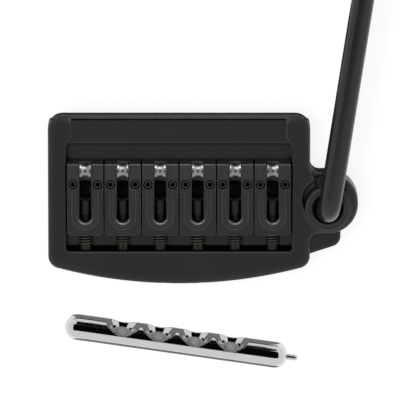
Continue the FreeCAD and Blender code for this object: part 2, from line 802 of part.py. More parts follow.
def spring_path(length):
    """Straight lead, quarter bend, helix, quarter bend and straight lead, along -Y from the saddle."""
    coil = size("spring_radius")
    wire = size("spring_wire_radius")
    turns = size("spring_turns")
    lead = 2 * wire
    bend = 2 * wire
    rise = (length - 2 * (lead + bend)) / turns
    slope = rise / (2 * math.pi)
    speed = math.hypot(coil, slope)

    def at(angle):
        place = Vector(coil * math.cos(angle), -(lead + bend) - slope * angle, coil * math.sin(angle))
        way = Vector(-coil * math.sin(angle), -slope, coil * math.cos(angle)) / speed
        return place, way

    to_tail = Vector(0, -1, 0)
    quarters = round(turns * 4)
    stops = [at(i * math.pi / 2) for i in range(quarters + 1)]
    first, first_way = stops[0]
    last, last_way = stops[-1]
    turn = math.acos(max(-1.0, min(1.0, first_way.dot(to_tail))))
    reach = bend * math.tan(turn / 2)
    in_corner = first - first_way * reach
    in_start = in_corner - to_tail * reach
    out_corner = last + last_way * reach
    out_end = out_corner + to_tail * reach
    curves = [
        Part.LineSegment(Vector(in_start.x, 0, in_start.z), in_start),
        tangent_arc(in_start, in_corner, first),
    ]
    for (place, way), (next_place, next_way) in zip(stops, stops[1:]):
        curves.extend(biarc(place, way, next_place, next_way))
    curves.append(tangent_arc(last, out_corner, out_end))
    curves.append(Part.LineSegment(out_end, Vector(out_end.x, -length, out_end.z)))
    return Part.Wire([curve.toShape() for curve in curves])


def least_gap(path, wire):
    """The smallest clear distance between stretches of the wire that are over half a turn apart."""
    step = wire / 2
    points = path.discretize(Distance=step)
    apart = round(math.pi * size("spring_radius") / step)
    spans = [(a - b).Length for i, a in enumerate(points) for b in points[i + apart:]]
    return min(spans) - 2 * wire


def spring_form():
    room = size("window_back") - size("saddle_front") - size("saddle_length")
    length = room - 2 * size("spring_end_clearance")
    wire = size("spring_wire_radius")
    path = spring_path(length)
    start = path.Vertexes[0].Point
    section = Part.Wire([Part.Circle(start, Vector(0, 1, 0), wire).toShape()])
    spring = doc.addObject("Part::Feature", "spring_form")
    spring.Shape = path.makePipeShell([section], True, False)
    volume = math.pi * wire ** 2 * path.Length
    share = spring.Shape.Volume / volume
    print(f"spring: least gap {least_gap(path, wire):.2f} mm, volume {share:.3f} of its wire's")
    return spring


forms = {
    "saddle": saddle_form(),
    "string_roller": roller_form(),
    "intonation_screw": intonation_screw_form(),
}
height_screw = height_screw_form()
spring = spring_form()
spring_start = f"-{saddle_back} - spring_end_clearance"
for number in range(1, STRING_COUNT + 1):
    x = string_across(number)
    for name, form in forms.items():
        repeat(f"{name}_{number}", form, x)
    finish(f"roller_axle_{number}", roller_axle(f"roller_axle_{number}", x))
    repeat(f"intonation_spring_{number}", spring, x, spring_start, "intonation_height")
    for letter, side in (("a", -1), ("b", 1)):
        repeat(f"height_screw_{number}{letter}", height_screw, f"{x} + {side} * height_screw_across")

doc.recompute()
for thing in doc.Objects:
    if {"Invalid", "Error"} & set(thing.State):
        raise RuntimeError(f"{thing.Name} failed: {thing.State}")
for node in nodes:
    if node.Shape.isNull() or not node.Shape.isValid():
        raise RuntimeError(f"{node.Label} has no valid shape")
os.makedirs("parts", exist_ok=True)
for node in nodes:
    node.Shape.exportStep(f"parts/{node.Label}.step")
print(f"{len(nodes)} pieces")
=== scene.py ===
import math

import bpy
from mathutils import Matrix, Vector


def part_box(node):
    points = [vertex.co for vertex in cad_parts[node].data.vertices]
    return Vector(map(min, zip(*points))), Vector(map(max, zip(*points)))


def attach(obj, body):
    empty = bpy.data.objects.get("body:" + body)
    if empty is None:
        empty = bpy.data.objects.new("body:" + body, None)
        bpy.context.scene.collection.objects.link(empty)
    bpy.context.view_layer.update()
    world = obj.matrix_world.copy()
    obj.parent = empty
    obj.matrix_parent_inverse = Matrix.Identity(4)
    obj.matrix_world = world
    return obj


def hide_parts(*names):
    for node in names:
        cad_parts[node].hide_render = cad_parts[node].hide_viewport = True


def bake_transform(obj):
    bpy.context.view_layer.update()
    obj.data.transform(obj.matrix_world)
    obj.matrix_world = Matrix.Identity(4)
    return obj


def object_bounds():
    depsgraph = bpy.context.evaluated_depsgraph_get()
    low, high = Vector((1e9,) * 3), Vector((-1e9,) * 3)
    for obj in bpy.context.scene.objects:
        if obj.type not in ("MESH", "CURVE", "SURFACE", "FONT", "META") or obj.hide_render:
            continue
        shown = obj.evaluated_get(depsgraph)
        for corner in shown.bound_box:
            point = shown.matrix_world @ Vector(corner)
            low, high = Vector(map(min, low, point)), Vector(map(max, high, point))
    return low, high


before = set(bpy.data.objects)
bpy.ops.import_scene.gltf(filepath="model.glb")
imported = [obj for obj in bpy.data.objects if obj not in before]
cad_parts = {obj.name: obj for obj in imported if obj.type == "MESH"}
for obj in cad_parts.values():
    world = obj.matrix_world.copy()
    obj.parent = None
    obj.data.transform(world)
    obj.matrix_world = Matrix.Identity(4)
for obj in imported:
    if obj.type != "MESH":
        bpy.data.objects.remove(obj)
cad_low, cad_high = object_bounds()

MM = 0.001
FULL_TURN = 2 * math.pi
QUARTER_TURN = math.pi / 2
STRINGS = range(1, 7)
STRING_PITCH = 10.5
SIDES = (("a", -1), ("b", 1))

scene = bpy.context.scene
scene.view_settings.view_transform = "Standard"


# Camera: above the frame, leaning towards the neck, with the frame's top at the photograph's scale
PHOTO_SIDE = 400
PIXELS_PER_MM = 3.57
CAMERA_LEAN = math.radians(11)
CAMERA_DISTANCE = 2000 * MM
CAMERA_REACH = 10000 * MM
CAMERA_AIM = Vector((5.88, -19.7, 10.8)) * MM


def photo_camera():
    bpy.ops.object.camera_add(rotation=(-CAMERA_LEAN, 0, 0))
    camera = bpy.context.object
    camera.name = "photo_camera"
    back = Vector((0, math.sin(CAMERA_LEAN), math.cos(CAMERA_LEAN)))
    camera.location = CAMERA_AIM + back * CAMERA_DISTANCE
    half_width = PHOTO_SIDE / PIXELS_PER_MM / 2 * MM
    camera.data.angle = 2 * math.atan(half_width / CAMERA_DISTANCE)
    camera.data.clip_end = CAMERA_REACH
    scene.camera = camera


photo_camera()


# Modelling steps, in millimetres
WELD = 0.001
NEAR = 0.01
FLAT_ANGLE = math.radians(0.5)
EDGE_ANGLE = 40
EDGE_BREAK_STEPS, ROUND_STEPS = 2, 4
PIN_SIDES, HOLE_SIDES, SCREW_SIDES, ROUND_SIDES, FINE_SIDES = 24, 32, 40, 48, 64
THREAD_STEPS, THREAD_GAP = 20, 0.02


def begin():
    bpy.ops.object.select_all(action="DESELECT")


def take(piece):
    begin()
    piece.select_set(True)
    bpy.context.view_layer.objects.active = piece


def named(name):
    """The object just added, with its place and size put into its mesh."""
    bpy.ops.object.transform_apply(location=True, rotation=True, scale=True)
    piece = bpy.context.object
    piece.name = name
    return piece


def block(name, low, high):
    begin()
    middle = [(a + b) / 2 * MM for a, b in zip(low, high)]
    lengths = [(b - a) * MM for a, b in zip(low, high)]
    bpy.ops.mesh.primitive_cube_add(size=1, location=middle, scale=lengths)
    return named(name)


def bar(name, radius, start, end, sides, end_radius=None):
    """A round or many-sided bar between two points, or a cone if it has a second radius."""
    begin()
    start, end = Vector(start) * MM, Vector(end) * MM
    way = end - start
    turn = way.to_track_quat("Z", "Y").to_euler()
    last = radius if end_radius is None else end_radius
    bpy.ops.mesh.primitive_cone_add(vertices=sides, radius1=radius * MM, radius2=last * MM, depth=way.length,
                                    location=(start + end) / 2, rotation=turn)
    return named(name)


def apply(piece, modifier):
    take(piece)
    bpy.ops.object.modifier_apply(modifier=modifier.name)


def combined(piece, operation, tools):
    for tool in tools:
        boolean = piece.modifiers.new(tool.name, "BOOLEAN")
        boolean.operation = operation
        boolean.object = tool
        apply(piece, boolean)
        bpy.data.meshes.remove(tool.data)
    return piece


def cut(piece, *tools):
    return combined(piece, "DIFFERENCE", tools)


def fused(piece, *others):
    return combined(piece, "UNION", others)


def edit(piece):
    take(piece)
    bpy.ops.object.mode_set(mode="EDIT")
    bpy.ops.mesh.select_mode(type="VERT")
    bpy.ops.mesh.select_all(action="SELECT")


def leave_edit():
    bpy.ops.object.mode_set(mode="OBJECT")
    return bpy.context.object


def near(place, other):
    return abs(place - other) < NEAR


def pick_edges(piece, wanted):
    """Selects the edges whose two ends are both wanted, and enters edit mode."""
    edit(piece)
    bpy.ops.mesh.select_all(action="DESELECT")
    bpy.ops.object.mode_set(mode="OBJECT")
    points = piece.data.vertices
    for edge in piece.data.edges:
        edge.select = all(wanted(points[i].co / MM) for i in edge.vertices)
    bpy.ops.object.mode_set(mode="EDIT")
    bpy.ops.mesh.select_mode(type="EDGE")


def round_edges(piece, wanted, radius):
    pick_edges(piece, wanted)
    bpy.ops.mesh.bevel(offset=radius * MM, segments=ROUND_STEPS, affect="EDGES")
    leave_edit()


def smooth(piece, angle):
    take(piece)
    bpy.ops.object.shade_smooth_by_angle(angle=math.radians(angle))
    return piece


def soften(piece, width):
    """Merges flat faces, breaks every sharp edge a little and shades the rest smooth."""
    edit(piece)
    bpy.ops.mesh.remove_doubles(threshold=WELD * MM)
    bpy.ops.mesh.dissolve_limited(angle_limit=FLAT_ANGLE)
    leave_edit()
    bevel = piece.modifiers.new("edge_break", "BEVEL")
    bevel.width = width * MM
    bevel.segments = EDGE_BREAK_STEPS
    bevel.limit_method = "ANGLE"
    bevel.angle_limit = math.radians(EDGE_ANGLE)
    bevel.use_clamp_overlap = False
    apply(piece, bevel)
    smooth(piece, EDGE_ANGLE)
    even = piece.modifiers.new("flat_faces_stay_flat", "WEIGHTED_NORMAL")
    even.keep_sharp = True
    apply(piece, even)
    return piece


def drawn_line(name, points):
    """A chain of edges, drawn by extruding one vertex from point to point. It stays in edit mode."""
    begin()
    bpy.ops.mesh.primitive_plane_add(size=MM)
    line = bpy.context.object
    line.name = name
    edit(line)
    bpy.ops.mesh.merge(type="CENTER")
    points = [Vector(p) * MM for p in points]
    bpy.ops.transform.translate(value=points[0])
    for before, after in zip(points, points[1:]):
        bpy.ops.mesh.extrude_vertices_move(TRANSFORM_OT_translate={"value": after - before})
    bpy.ops.mesh.select_all(action="SELECT")
    return line


def close_up():
    """Welds what meets, fills open ends and turns the faces outwards, in edit mode."""
    bpy.ops.mesh.select_all(action="SELECT")
    bpy.ops.mesh.remove_doubles(threshold=WELD * MM)
    bpy.ops.mesh.select_all(action="DESELECT")
    bpy.ops.mesh.select_mode(type="EDGE")
    bpy.ops.mesh.select_non_manifold()
    if bpy.context.object.data.total_edge_sel:
        bpy.ops.mesh.fill()
    bpy.ops.mesh.select_all(action="SELECT")
    bpy.ops.mesh.normals_make_consistent(inside=False)


def turned(name, profile, sides):
    """A lathe-turned form about Z, from (radius, height) points."""
    drawn_line(name, [(radius, 0, height) for radius, height in profile])
    bpy.ops.mesh.spin(steps=sides, angle=FULL_TURN, center=(0, 0, 0), axis=(0, 0, 1))
    close_up()
    return leave_edit()


def wound(name, section, rise, turns, steps):
    """A section in the XZ plane, swept round Z with this rise per turn."""
    line = drawn_line(name, section)
    leave_edit()
    screw = line.modifiers.new("winding", "SCREW")
    screw.axis = "Z"
    screw.angle = FULL_TURN
    screw.screw_offset = rise * MM
    screw.iterations = turns
    screw.steps = steps
    screw.render_steps = steps
    screw.use_merge_vertices = True
    screw.merge_threshold = WELD * MM
    apply(line, screw)
    edit(line)
    close_up()
    return leave_edit()


def threaded(name, radius, depth, pitch, low, high):
    """A thread on Z, from low to high: a V-shaped ridge wound up the shank."""
    root = radius - depth
    foot, head = low + THREAD_GAP, low + pitch - THREAD_GAP
    ridge = [(root, 0, foot), (radius, 0, low + pitch / 2), (root, 0, head), (root, 0, foot)]
    turns = max(1, round((high - low) / pitch) - 1)
    return wound(name, ridge, pitch, turns, THREAD_STEPS)


def joined(first, *others):
    take(first)
    for other in others:
        other.select_set(True)
    bpy.ops.object.join()
    return bpy.context.object


def set_in_place(piece, place, turn=(0, 0, 0)):
    take(piece)
    piece.location = Vector(place) * MM
    piece.rotation_euler = turn
    bpy.ops.object.transform_apply(location=True, rotation=True, scale=True)
    return piece


def copy_of(piece, name):
    take(piece)
    bpy.ops.object.duplicate()
    copy = bpy.context.object
    copy.name = name
    return copy


# Shader nodes
FLOAT, VECTOR = "NodeSocketFloat", "NodeSocketVector"


def feed(tree, socket, value):
    """Links an input to another node's output, or sets it to a plain value."""
    if isinstance(value, bpy.types.NodeSocket):
        tree.links.new(value, socket)
    else:
        socket.default_value = value


def place_node(tree, kind, *feeds, **settings):
    """A node whose inputs and properties are set by name, and whose first inputs take the feeds in order."""
    made = tree.nodes.new("ShaderNode" + kind)
    for name, value in settings.items():
        if name in made.inputs:
            feed(tree, made.inputs[name], value)
        else:
            setattr(made, name, value)
    for socket, value in zip(made.inputs, feeds):
        feed(tree, socket, value)
    return made


def place_group(tree, group, *feeds):
    """The outputs of a node group that is placed with these inputs."""
    return place_node(tree, "Group", *feeds, node_tree=group).outputs


def result_of(tree, operation, *feeds):
    """The output of a Math node with these inputs."""
    return place_node(tree, "Math", *feeds, operation=operation).outputs[0]


def ramp(tree, value, start, end, low, high, **settings):
    """Maps a value that runs from start to end onto low to high."""
    return place_node(tree, "MapRange", value, start, end, low, high, **settings).outputs["Result"]


def mixed(tree, share, first, second):
    """The first colour where the share is 0, and the second where it is 1."""
    return place_node(tree, "Mix", data_type="RGBA", Factor=share, A=first, B=second).outputs["Result"]


def spot_of(tree):
    """X, Y and Z of the shaded spot, in the object's own coordinates."""
    return place_node(tree, "SeparateXYZ", place_node(tree, "TexCoord").outputs["Object"]).outputs


def new_group(name, inputs, outputs):
    """An empty group with these sockets, the outputs of its input node and the inputs of its output node."""
    group = bpy.data.node_groups.new(name, "ShaderNodeTree")
    for way, sockets in (("INPUT", inputs), ("OUTPUT", outputs)):
        for label, kind in sockets.items():
            group.interface.new_socket(label, in_out=way, socket_type=kind)
    given = group.nodes.new("NodeGroupInput").outputs if inputs else {}
    return group, given, group.nodes.new("NodeGroupOutput").inputs


def grey(value):
    return (value, value, value, 1)


# Effects that the finishes share
GRAIN_SCALE, DRIFT_SCALE = 1800.0, 90.0
RIBS_PER_STRING, RIB_BACK = 17, -13.4
RIB_BUMP, RIB_DEPTH = 0.5, 0.1
# Painted shade: a black line in the hood groove, and a black band where the window's floor meets the tail
HOOD_GROOVE_SHADE = ((-40.0, 2.6, 8.0), (40.0, 3.25, 9.5))
TAIL_CORNER_SHADE = ((-31.7, -34.75, 3.0), (31.7, -33.95, 9.9))
# A painted highlight along the top of the tail's lip at the window
TAIL_LIP_HIGHLIGHT = ((-30.6, -34.85, 10.0), (30.6, -34.55, 12.0))
OUTER_SIDE, OUTER_TAIL, OUTER_FRONT = 34.6, -38.2, 2.0
EDGE_STARTS, EDGE_FULL = 0.995, 0.9
# Painted shade in corners, gaps and bores: where it is full and where it ends, and the black of all painted
# shade
RECESS_FULL, RECESS_ENDS = 0.22, 0.62
PAINTED_SHADE_BLACK = grey(0.001)


def coat_grain_group():
    """Fine grain of a plated or sprayed coat: a slow drift of tone, and specks for bump and roughness."""
    group, given, results = new_group("coat_grain", {"Grain scale": FLOAT, "Drift scale": FLOAT},
                                      {"Drift": FLOAT, "Grain": FLOAT})
    where = place_node(group, "TexCoord").outputs["Object"]
    for label, detail, roughness in (("Drift", 3.0, 0.55), ("Grain", 2.0, 0.5)):
        noise = place_node(group, "TexNoise", Vector=where, Scale=given[label + " scale"], Detail=detail,
                           Roughness=roughness)
        feed(group, results[label], noise.outputs["Fac"])
    return group


def polish_lines_group():
    """Fine turning or polishing lines: noise that is stretched along one axis."""
    group, given, results = new_group("polish_lines", {"Stretch": VECTOR}, {"Lines": FLOAT})
    where = place_node(group, "TexCoord").outputs["Object"]
    scaled = place_node(group, "VectorMath", where, given["Stretch"], operation="MULTIPLY").outputs["Vector"]
    lines = place_node(group, "TexNoise", Vector=scaled, Scale=1.0, Detail=2.0, Roughness=0.6)
    feed(group, results["Lines"], lines.outputs["Fac"])
    return group


def ear_ribs_group():
    """Fine cast ribs along Y on the saddles' ears, in front of the height screws."""
    group, _, results = new_group("ear_ribs", {}, {"Ribs": FLOAT})
    spot = spot_of(group)
    pitch = STRING_PITCH / RIBS_PER_STRING * MM
    wave = result_of(group, "SINE", result_of(group, "MULTIPLY", spot["X"], FULL_TURN / pitch))
    in_front = result_of(group, "GREATER_THAN", spot["Y"], RIB_BACK * MM)
    feed(group, results["Ribs"], result_of(group, "MULTIPLY", wave, in_front))
    return group


def strips_group(name, strips):
    """1 inside any of the boxes, which are given by two opposite corners."""
    group, _, results = new_group(name, {}, {"Inside": FLOAT})
    spot = spot_of(group)
    found = 0.0
    for low, high in strips:
        inside = 1.0
        for axis, least, most in zip("XYZ", low, high):
            above = result_of(group, "GREATER_THAN", spot[axis], least * MM)
            below = result_of(group, "LESS_THAN", spot[axis], most * MM)
            inside = result_of(group, "MULTIPLY", inside, result_of(group, "MULTIPLY", above, below))
        found = result_of(group, "MAXIMUM", found, inside)
    feed(group, results["Inside"], found)
    return group


def outer_edge_group():
    """1 by the frame's sides, tail, front and arm boss, whose top edge is rounded more than the window's."""
    group, _, results = new_group("outer_edge", {}, {"Outer": FLOAT})
    spot = spot_of(group)
    by_side = result_of(group, "GREATER_THAN", result_of(group, "ABSOLUTE", spot["X"]), OUTER_SIDE * MM)
    by_tail = result_of(group, "LESS_THAN", spot["Y"], OUTER_TAIL * MM)
    by_front = result_of(group, "GREATER_THAN", spot["Y"], OUTER_FRONT * MM)
    by_end = result_of(group, "MAXIMUM", by_tail, by_front)
    feed(group, results["Outer"], result_of(group, "MAXIMUM", by_side, by_end))
    return group


def edge_light_group():
    """A normal that is softened over edges, and a mask that is 1 where it leans away from the true one."""
    group, given, results = new_group("edge_light", {"Radius": FLOAT}, {"Normal": VECTOR, "Edge": FLOAT})
    softened = place_node(group, "Bevel", samples=6, Radius=given["Radius"]).outputs["Normal"]
    true_normal = place_node(group, "NewGeometry").outputs["Normal"]
    alike = place_node(group, "VectorMath", softened, true_normal, operation="DOT_PRODUCT").outputs["Value"]
    feed(group, results["Normal"], softened)
    feed(group, results["Edge"], ramp(group, alike, EDGE_STARTS, EDGE_FULL, 0.0, 1.0))
    return group


def recess_group():
    """1 on open faces, falling to 0 in deep corners, gaps and bores, where painted shade darkens the coat."""
    group, given, results = new_group("recess_shade", {"Reach": FLOAT}, {"Open": FLOAT})
    around = place_node(group, "AmbientOcclusion", samples=8, Distance=given["Reach"]).outputs["AO"]
    share = ramp(group, around, RECESS_FULL, RECESS_ENDS, 0.0, 1.0, interpolation_type="SMOOTHSTEP")
    feed(group, results["Open"], share)
    return group


coat_grain = coat_grain_group()
polish_lines = polish_lines_group()
ear_ribs = ear_ribs_group()
# Painted shade in the hood groove and the tail corner
painted_shade_strips = strips_group("groove_and_corner_shade", (HOOD_GROOVE_SHADE, TAIL_CORNER_SHADE))
# A painted highlight on the frame's tail lip
painted_lip_highlight = strips_group("painted_lip_highlight", (TAIL_LIP_HIGHLIGHT,))
edge_light = edge_light_group()
outer_edge = outer_edge_group()
recess_shade = recess_group()


# Finishes
def finish_material(name, metallic, dark, light, rough_low, rough_high, grain_scale=GRAIN_SCALE,
                    drift_scale=DRIFT_SCALE, bump=0.3, bump_height=0.01, edge=0.15, outer=None, lines=None,
                    ior=1.5, ribs=False, edge_wear_and_highlight=None, frame_painted_light=False, recess=None):
    """A coat or metal whose tone drifts, with grain or polish lines in its roughness and bump.

    Edges are softened over edge, and over outer by the frame's outside, and painted shade darkens
    corners within recess, all in millimetres. Edges go lighter, partly as wear and partly as painted
    highlight. On the frame, painted shade blackens the hood groove and the tail corner, and a painted
    highlight lightens the tail lip.
    """
    material = bpy.data.materials.new(name)
    material.use_nodes = True
    tree = material.node_tree
    grain = place_group(tree, coat_grain, grain_scale, drift_scale)
    colour = mixed(tree, grain["Drift"], dark, light)
    texture = place_group(tree, polish_lines, lines)["Lines"] if lines else grain["Grain"]
    roughness = ramp(tree, texture, 0.0, 1.0, rough_low, rough_high)
    relief = place_node(tree, "Bump", Strength=bump, Distance=bump_height * MM, Height=texture)
    normal = relief.outputs["Normal"]
    if edge:
        reach = edge * MM
        if outer:
            reach = ramp(tree, place_group(tree, outer_edge)["Outer"], 0.0, 1.0, edge * MM, outer * MM)
        softened = place_group(tree, edge_light, reach)
        feed(tree, relief.inputs["Normal"], softened["Normal"])
    # Edges go lighter, partly as wear and partly as painted highlight, and on the frame the tail lip gets a
    # painted highlight
    if edge_wear_and_highlight:
        rubbed = softened["Edge"]
        if frame_painted_light:
            rubbed = result_of(tree, "MAXIMUM", rubbed, place_group(tree, painted_lip_highlight)["Inside"])
        colour = mixed(tree, rubbed, colour, edge_wear_and_highlight)
    # Painted shade: the frame's hood groove and tail corner go black and dull
    if frame_painted_light:
        line = place_group(tree, painted_shade_strips)["Inside"]
        colour = mixed(tree, line, colour, PAINTED_SHADE_BLACK)
        roughness = result_of(tree, "MAXIMUM", roughness, line)
    # Painted shade in corners, gaps and bores
    if recess:
        colour = mixed(tree, place_group(tree, recess_shade, recess * MM)["Open"], PAINTED_SHADE_BLACK, colour)
    if ribs:
        cast = place_group(tree, ear_ribs)["Ribs"]
        ridged = place_node(tree, "Bump", Strength=RIB_BUMP, Distance=RIB_DEPTH * MM, Height=cast,
                            Normal=normal)
        normal = ridged.outputs["Normal"]
    shader = tree.nodes["Principled BSDF"]
    for label, value in (("Base Color", colour), ("Metallic", metallic), ("Roughness", roughness),
                         ("IOR", ior), ("Normal", normal)):
        feed(tree, shader.inputs[label], value)
    return material


satin_black = finish_material("satin_black", 0.0, grey(0.017), grey(0.0205), 0.28, 0.38, edge=0.7, outer=1.45,
                              ior=1.2, edge_wear_and_highlight=grey(0.046), frame_painted_light=True, recess=2.5)
cast_black = finish_material("cast_black", 0.0, grey(0.010), grey(0.015), 0.45, 0.65, grain_scale=900.0,
                             bump=0.5, bump_height=0.03, ior=1.1, recess=8.0)
saddle_black = finish_material("saddle_black", 0.0, (0.0208, 0.0208, 0.0198, 1), (0.0252, 0.0252, 0.0242, 1),
                               0.16, 0.24, edge=0.2, ribs=True, edge_wear_and_highlight=grey(0.06), recess=2.5)
# The string slot's flare, lighter: partly string wear, partly painted highlight
flare_wear_and_sheen = finish_material("flare_wear_and_sheen", 0.3, grey(0.09), grey(0.13), 0.2, 0.3, edge=0)
gloss_black = finish_material("gloss_black", 0.0, grey(0.008), grey(0.011), 0.18, 0.26, grain_scale=1200.0,
                              drift_scale=160.0, bump=0.05, edge=0, ior=1.4)
polished_chrome = finish_material("polished_chrome", 1.0, grey(0.56), grey(0.61), 0.03, 0.07, bump=0.03,
                                  edge=0.3, lines=(150.0, 5000.0, 5000.0))
seat_grey = finish_material("seat_grey", 0.0, grey(0.19), grey(0.25), 0.45, 0.6, grain_scale=2500.0, edge=0)
roller_chrome = finish_material("roller_chrome", 1.0, grey(0.26), grey(0.34), 0.32, 0.42, bump=0.06, edge=0,
                                lines=(7000.0, 300.0, 300.0))
screw_black = finish_material("screw_black", 0.1, (0.016, 0.0155, 0.013, 1), (0.021, 0.0205, 0.017, 1),
                              0.26, 0.36, bump=0.1, edge=0.08, recess=2.5)
# A lighter copy of the screw finish for the height screws: painted light
lit_set_screw_grey = finish_material("lit_set_screw_grey", 0.1, (0.036, 0.035, 0.031, 1), (0.046, 0.045, 0.040, 1),
                                 0.26, 0.36, bump=0.1, edge=0.08, recess=3.0)
spring_steel = finish_material("spring_steel", 0.5, (0.060, 0.058, 0.049, 1), (0.085, 0.083, 0.070, 1),
                               0.36, 0.46, bump=0.1, edge=0, recess=4.0)
ground_steel = finish_material("ground_steel", 1.0, grey(0.50), grey(0.60), 0.15, 0.28, bump=0.1, edge=0.1)
# A darker copy of the screw finish for the arm set screw in the collar: painted shade
shaded_tension_black = finish_material("shaded_tension_black", 0.1, grey(0.008), grey(0.012), 0.3, 0.4, bump=0.1, edge=0.08,
                                ior=1.2, recess=2.5)
black_nylon = finish_material("black_nylon", 0.0, grey(0.001), grey(0.002), 0.6, 0.75, bump=0.2, edge=0.1,
                              ior=1.1)

node_finish = {
    "rail_end_pin": ground_steel,
    "spare_rail_pin": ground_steel,
    "bridge_frame": satin_black,
    "arm_collar": satin_black,
    "sustain_block": cast_black,
    "block_screws": screw_black,
    "arm_sleeve": black_nylon,
    "tremolo_arm": gloss_black,
}
node_finish.update({f"roller_axle_{n}": ground_steel for n in STRINGS})
for node, finish in node_finish.items():
    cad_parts[node].data.materials.clear()
    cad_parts[node].data.materials.append(finish)

# The loose rail doesn't mirror the block as a black band
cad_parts["sustain_block"].visible_glossy = False


# Finishing and placing a piece
def hand_in(piece, body=None, replaces=()):
    """Puts a finished piece on the body it rides on, and hides the nodes that it stands for."""
    if body:
        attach(piece, body)
    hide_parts(*replaces)


def stand_in(form, node, ending, place, turn=(0, 0, 0)):
    """Puts a copy of a form in place of a node, on the body of the node's own name."""
    hand_in(set_in_place(copy_of(form, f"{node}_{ending}"), place, turn), node, [node])


def coat(piece, finish, second=None, second_faces=None):
    """Gives a form its finish, and a second one to the faces that the test picks by middle and normal."""
    piece.data.materials.append(finish)
    if second:
        piece.data.materials.append(second)
        for face in piece.data.polygons:
            face.material_index = int(second_faces(face.center / MM, face.normal))
    return piece


def middle_of(node):
    low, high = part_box(node)
    return (low + high) / 2 / MM


# Saddles
SADDLE_HALF = 5.07
SADDLE_FRONT, SADDLE_BACK = -9.2, -29.8
SADDLE_UNDER, SADDLE_TOP = 4.0, 11.9
FRONT_ROUND, CORNER_ROUND, EDGE_BREAK = 0.7, 1.0, 0.12
SHOULDER_TOP, SHOULDER_FRONT = 11.25, -17.4
RIM = 3.8
GROOVE_OUT, GROOVE_IN, GROOVE_FLOOR = 3.45, 2.75, 11.6
SLOT_HALF, SLOT_END = 1.7, -24.4
FLARE_DEPTH, FLARE_PAST, FLARE_OUT = 0.5, 0.25, 0.75
# Where the slot's flare goes lighter, partly as string wear and partly as painted highlight
WEAR_SHEEN_INSIDE, WEAR_SHEEN_OUTSIDE, WEAR_SHEEN_BEHIND = 0.05, 0.6, 0.7
WEAR_SHEEN_STEEP, WEAR_SHEEN_LEVEL = 0.3, 0.95
ROLLER_Y, ROLLER_Z = -11.4, 10.6
POCKET, AXLE_HOLE = 2.45, 0.81
SCREW_ACROSS, SCREW_Y, SCREW_HOLE = 3.45, -15.2, 1.31
INTONATION_Z, INTONATION_HOLE = 6.2, 1.51
PAST = 1.0


def round_ended(name, half, front, low, high, sides):
    """The two forms of an upright tongue along the string slot, with a half round at the slot's tail end."""
    return (block(name, (-half, SLOT_END, low), (half, front, high)),
            bar(name + "_end", half, (0, SLOT_END, low), (0, SLOT_END, high), sides))


def saddle_form():
    saddle = block("saddle_form", (-SADDLE_HALF, SADDLE_BACK, SADDLE_UNDER),
                   (SADDLE_HALF, SADDLE_FRONT, SADDLE_TOP))
    round_edges(saddle, lambda p: near(p.y, SADDLE_FRONT) and near(p.z, SADDLE_TOP), FRONT_ROUND)
    for side in (-SADDLE_HALF, SADDLE_HALF):
        round_edges(saddle, lambda p: near(p.y, SADDLE_BACK) and near(p.x, side), CORNER_ROUND)
    low, high = SADDLE_UNDER - PAST, SADDLE_TOP + PAST
    past_shoulder = SHOULDER_FRONT + PAST
    shoulder = block("shoulder", (-SADDLE_HALF - PAST, SADDLE_BACK - PAST, SHOULDER_TOP),
                     (SADDLE_HALF + PAST, SHOULDER_FRONT, high))
    cut(shoulder, *round_ended("rim", RIM, past_shoulder, SHOULDER_TOP - PAST, high + PAST, FINE_SIDES))
    groove = fused(*round_ended("groove", GROOVE_OUT, past_shoulder, GROOVE_FLOOR, high, FINE_SIDES))
    cut(groove, *round_ended("inner", GROOVE_IN, past_shoulder + PAST, low, high + PAST, FINE_SIDES))
    pocket_back = ROLLER_Y - POCKET
    cut(saddle, shoulder, groove,
        *round_ended("slot", SLOT_HALF, pocket_back, low, high, ROUND_SIDES),
        bar("slot_flare", SLOT_HALF, (0, SLOT_END, SADDLE_TOP - FLARE_DEPTH),
            (0, SLOT_END, SADDLE_TOP + FLARE_PAST), ROUND_SIDES, SLOT_HALF + FLARE_OUT),
        block("pocket", (-SLOT_HALF, pocket_back - PAST, ROLLER_Z - POCKET),
              (SLOT_HALF, SADDLE_FRONT + PAST, high)),
        bar("axle_hole", AXLE_HOLE, (-SADDLE_HALF - PAST, ROLLER_Y, ROLLER_Z),
            (SADDLE_HALF + PAST, ROLLER_Y, ROLLER_Z), PIN_SIDES),
        bar("intonation_hole", INTONATION_HOLE, (0, SLOT_END, INTONATION_Z),
            (0, SADDLE_BACK - PAST, INTONATION_Z), HOLE_SIDES),
        *(bar("height_hole", SCREW_HOLE, (side * SCREW_ACROSS, SCREW_Y, low),
              (side * SCREW_ACROSS, SCREW_Y, high), HOLE_SIDES) for _, side in SIDES))
    return coat(soften(saddle, EDGE_BREAK), saddle_black, flare_wear_and_sheen, on_slot_flare)


def on_slot_flare(spot, normal):
    """The flare at the tail end of the string slot, finished lighter: partly string wear, partly painted
    highlight.
    """
    off_end = math.hypot(spot.x, spot.y - SLOT_END)
    on_flare = SLOT_HALF - WEAR_SHEEN_INSIDE < off_end < SLOT_HALF + WEAR_SHEEN_OUTSIDE
    return on_flare and spot.y < SLOT_END - WEAR_SHEEN_BEHIND and WEAR_SHEEN_STEEP < normal.z < WEAR_SHEEN_LEVEL


# Rollers: waisted, with rounded flanges, from (radius, place along the axle) points of one half
ROLLER_HALF = [(0.84, -1.64), (2.0, -1.64), (2.2, -1.52), (2.2, -1.2), (1.95, -0.75), (1.62, -0.2)]
ROLLER_SMOOTH = 35


def roller_form():
    profile = ROLLER_HALF + [(radius, -along) for radius, along in reversed(ROLLER_HALF)]
    roller = smooth(turned("roller_form", profile + profile[:1], ROUND_SIDES), ROLLER_SMOOTH)
    return set_in_place(roller, (0, ROLLER_Y, ROLLER_Z), (0, QUARTER_TURN, 0))


